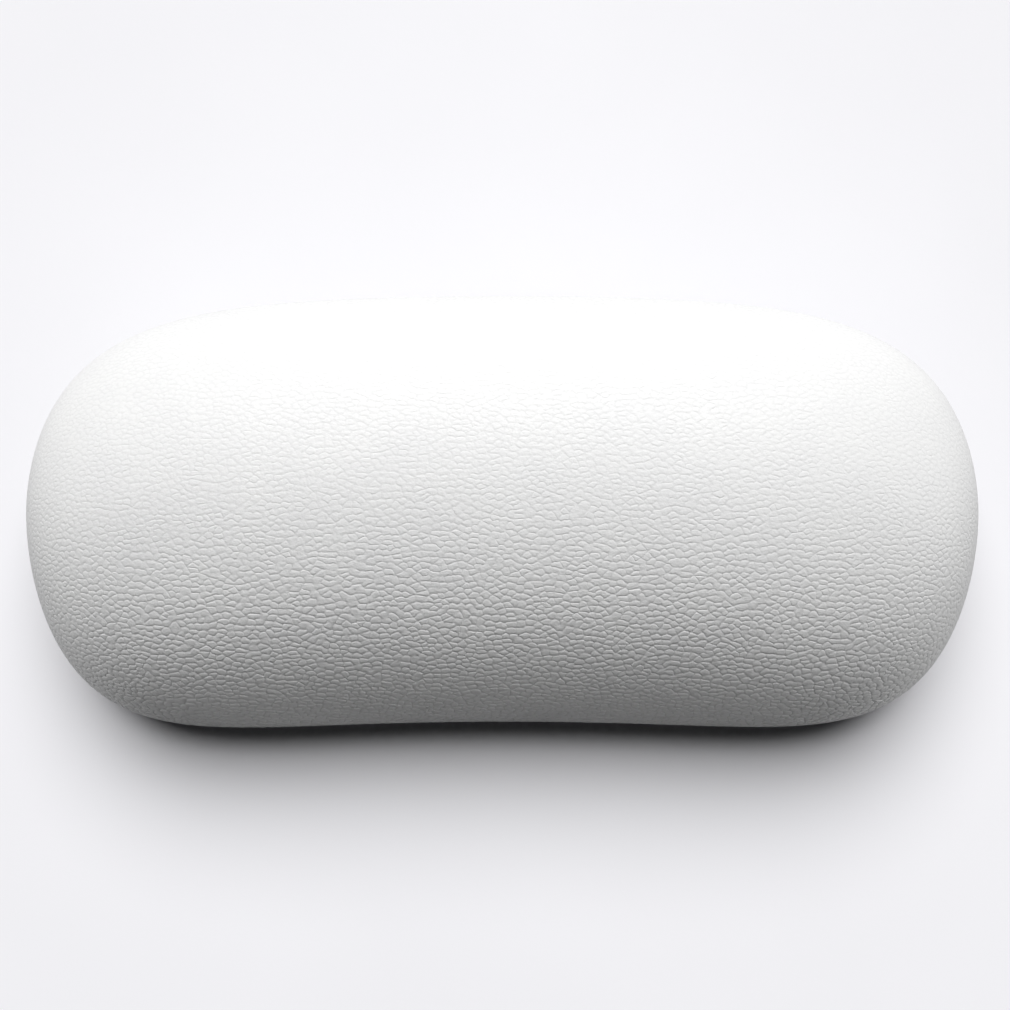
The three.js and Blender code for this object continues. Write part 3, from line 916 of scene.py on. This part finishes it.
# Floor, light and camera
FLOOR_HALF = 12.0
FLOOR_DROP = 0.02 * MM  # the floor lies this far below the rims of the cups
FLOOR_BOUNCE = 0.08
BACKDROP_COLOR = (0.88, 0.88, 0.91)
FILL_COLOR = (0.95, 0.97, 1)
FILL_STRENGTH = 0.012
AIM = Vector((0, 0, 36 * MM))
CAMERA_DISTANCE = 480 * MM
CAMERA_ELEVATION = math.radians(82)
CAMERA_YAW = math.radians(0.03)
CAMERA_ROLL = math.radians(-0.09)
CAMERA_LENS = 53.98
CAMERA_SHIFT_X = 0.0027
CAMERA_SHIFT_Y = 0.0026


def floor_material():
    """Pale, and darker to the light that it throws back, so that the pillow's front keeps its shade."""
    material = mixed_material(
        "pale_floor", (0.868, 0.864, 0.893), (0.886, 0.882, 0.911),
        roughness=0.6, drift_scale=8, bump_scale=900, bump_depth=0.01 * MM,
    )
    nodes, links = material.node_tree.nodes, material.node_tree.links
    dim = nodes.new("ShaderNodeBsdfDiffuse")
    dim.inputs["Color"].default_value = (FLOOR_BOUNCE, FLOOR_BOUNCE, FLOOR_BOUNCE, 1)
    path = nodes.new("ShaderNodeLightPath")
    choice = nodes.new("ShaderNodeMixShader")
    links.new(path.outputs["Is Diffuse Ray"], choice.inputs["Fac"])
    links.new(nodes["Principled BSDF"].outputs["BSDF"], choice.inputs[1])
    links.new(dim.outputs["BSDF"], choice.inputs[2])
    links.new(choice.outputs["Shader"], nodes["Material Output"].inputs["Surface"])
    return material


def add_floor():
    mesh = bpy.data.meshes.new("floor")
    h, low = FLOOR_HALF, -FLOOR_DROP
    mesh.from_pydata([(-h, -h, low), (h, -h, low), (h, h, low), (-h, h, low)], [], [(0, 1, 2, 3)])
    floor = bpy.data.objects.new("floor", mesh)
    bpy.context.scene.collection.objects.link(floor)
    mesh.materials.append(floor_material())
    return floor


def add_light(name, back, side, spread, strength, floor, state):
    """Even light from far off, at angles in degrees from straight above towards the back and the right.
    With state INCLUDE it lights only the floor, and with EXCLUDE it lights all but the floor."""
    data = bpy.data.lights.new(name, "SUN")
    data.energy = strength
    data.angle = math.radians(spread)
    light = bpy.data.objects.new(name, data)
    back, side = math.radians(back), math.radians(side)
    source = Vector((math.sin(side), math.sin(back) * math.cos(side), math.cos(back) * math.cos(side)))
    light.rotation_mode = "QUATERNION"
    light.rotation_quaternion = source.to_track_quat("Z", "Y")
    bpy.context.scene.collection.objects.link(light)
    choice = bpy.data.collections.new(name + "_choice")
    choice.objects.link(floor)
    choice.collection_objects[0].light_linking.link_state = state
    light.light_linking.receiver_collection = choice


def add_world():
    world = bpy.data.worlds.new("studio")
    world.use_nodes = True
    nodes, links = world.node_tree.nodes, world.node_tree.links
    seen = nodes["Background"]
    seen.inputs["Color"].default_value = (*BACKDROP_COLOR, 1)
    seen.inputs["Strength"].default_value = 1.0
    lit = nodes.new("ShaderNodeBackground")
    lit.inputs["Color"].default_value = (*FILL_COLOR, 1)
    lit.inputs["Strength"].default_value = FILL_STRENGTH
    choice = nodes.new("ShaderNodeMixShader")
    path = nodes.new("ShaderNodeLightPath")
    links.new(path.outputs["Is Camera Ray"], choice.inputs["Fac"])
    links.new(lit.outputs["Background"], choice.inputs[1])
    links.new(seen.outputs["Background"], choice.inputs[2])
    links.new(choice.outputs["Shader"], nodes["World Output"].inputs["Surface"])
    bpy.context.scene.world = world


def add_camera():
    yaw, lift, roll = CAMERA_YAW, CAMERA_ELEVATION, CAMERA_ROLL
    back = Vector((math.sin(yaw) * math.cos(lift), -math.cos(yaw) * math.cos(lift), math.sin(lift)))
    level_right = (-back).cross(Vector((0, 0, 1))).normalized()
    level_up = level_right.cross(-back)
    right = level_right * math.cos(roll) + level_up * math.sin(roll)
    up = level_up * math.cos(roll) - level_right * math.sin(roll)
    data = bpy.data.cameras.new("camera")
    data.sensor_width = 36
    data.lens = CAMERA_LENS
    data.shift_x = CAMERA_SHIFT_X
    data.shift_y = CAMERA_SHIFT_Y
    data.clip_start = 0.01
    camera = bpy.data.objects.new("camera", data)
    turn = Matrix((right, up, back)).transposed().to_4x4()
    camera.matrix_world = Matrix.Translation(AIM + back * CAMERA_DISTANCE) @ turn
    bpy.context.scene.collection.objects.link(camera)
    bpy.context.scene.camera = camera


floor = add_floor()
add_light("key", 50, 0, 34, 2.65, floor, "EXCLUDE")
add_light("low_back", 74, 0, 24, 0.33, floor, "EXCLUDE")
add_light("top", 0, 0, 30, 0.45, floor, "EXCLUDE")
add_light("back_left", 45, -50, 30, 0.6, floor, "EXCLUDE")
add_light("left", 20, -70, 30, 0.5, floor, "EXCLUDE")
add_light("right", 20, 70, 30, 1.15, floor, "EXCLUDE")
add_light("floor_high", 10, 0, 14, 0.45, floor, "INCLUDE")
add_light("floor_low", 30, 0, 50, 3.04, floor, "INCLUDE")
add_world()
add_camera()
bpy.context.scene.view_settings.view_transform = "Standard"
